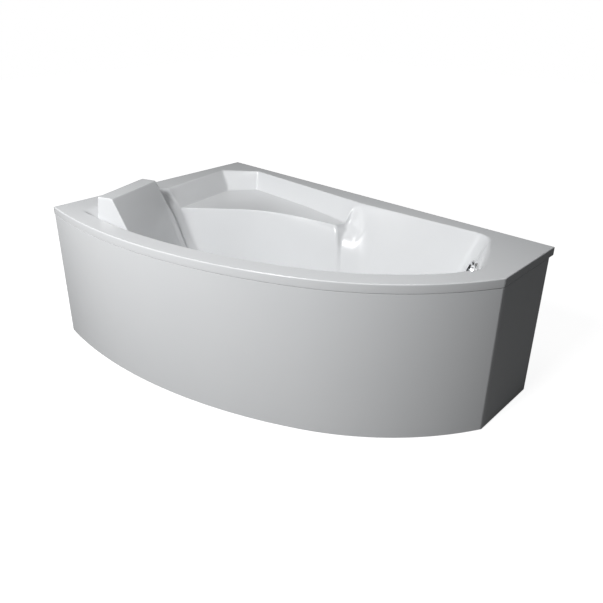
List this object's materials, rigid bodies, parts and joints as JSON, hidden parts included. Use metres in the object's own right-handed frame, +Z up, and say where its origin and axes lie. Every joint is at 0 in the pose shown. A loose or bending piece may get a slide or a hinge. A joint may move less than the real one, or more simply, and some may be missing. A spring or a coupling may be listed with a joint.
{
  "type": "corner bathtub",
  "caption": "Asymmetric corner bathtub with a bowed front apron, moulded corner shelf, raised head rest, overflow and lifting drain plug, standing on adjustable screw feet.",
  "frame": {"origin": "on the floor under the foot pads, in the middle of the bath's own box in plan", "axes": "+X along the long wall from the head end to the foot end, +Y from the bowed front towards the long wall, +Z up"},
  "size_m": [1.6, 1, 0.627],
  "materials": {
    "acrylic": "white sanitary acrylic, high gloss",
    "timber": "planed softwood, unfinished",
    "chipboard": "particle board under resin",
    "zinc_steel": "bright zinc plated",
    "spring_steel": "spring steel strip",
    "pad_black": "black moulded plastic",
    "rubber_black": "black rubber",
    "chrome": "polished chrome",
    "plastic_white": "white moulded plastic",
    "plastic_grey": "grey drain pipe"
  },
  "bodies": {
    "tub": {"tub_shell": "acrylic", "apron_panel": "acrylic", "rim_batten_back": "timber", "rim_batten_left": "timber", "rim_batten_right": "timber", "apron_blocks": "timber", "apron_clips": "spring_steel", "base_board": "chipboard", "leg_bar_head": "zinc_steel", "leg_bar_foot": "zinc_steel", "bar_screws": "zinc_steel", "lock_nuts": "zinc_steel", "wall_brackets": "zinc_steel", "bracket_screws": "zinc_steel", "apron_struts": "zinc_steel", "drain_gasket_top": "rubber_black", "drain_flange": "chrome", "drain_strainer": "plastic_white", "drain_gasket_bottom": "rubber_black", "drain_body": "plastic_white", "trap_body": "plastic_white", "trap_cap": "plastic_white", "trap_nut": "plastic_white", "outlet_pipe": "plastic_grey", "outlet_nut": "plastic_white", "overflow_ring": "chrome", "overflow_gasket": "rubber_black", "overflow_body": "plastic_white", "overflow_screw": "zinc_steel", "overflow_pipe": "plastic_grey", "overflow_nut_top": "plastic_white", "overflow_nut_bottom": "plastic_white"},
    "drain_plug": {"drain_plug": "chrome", "plug_seal": "rubber_black", "plug_spindle": "plastic_white"},
    "foot_head_back": {"stud_head_back": "zinc_steel", "foot_pad_head_back": "pad_black"},
    "foot_head_front": {"stud_head_front": "zinc_steel", "foot_pad_head_front": "pad_black"},
    "foot_foot_back": {"stud_foot_back": "zinc_steel", "foot_pad_foot_back": "pad_black"},
    "foot_foot_front": {"stud_foot_front": "zinc_steel", "foot_pad_foot_front": "pad_black"}
  },
  "joints": [
    {"name": "foot_head_back_screw", "type": "slide", "parent": "tub", "child": "foot_head_back", "axis": [0, 0, -1], "range_m": [-0.015, 0.03]},
    {"name": "foot_head_front_screw", "type": "slide", "parent": "tub", "child": "foot_head_front", "axis": [0, 0, -1], "range_m": [-0.015, 0.03]},
    {"name": "foot_foot_back_screw", "type": "slide", "parent": "tub", "child": "foot_foot_back", "axis": [0, 0, -1], "range_m": [-0.015, 0.03]},
    {"name": "foot_foot_front_screw", "type": "slide", "parent": "tub", "child": "foot_foot_front", "axis": [0, 0, -1], "range_m": [-0.015, 0.03]},
    {"name": "plug_lift", "type": "slide", "parent": "tub", "child": "drain_plug", "axis": [0, 0, 1], "range_m": [0, 0.009]}
  ]
}
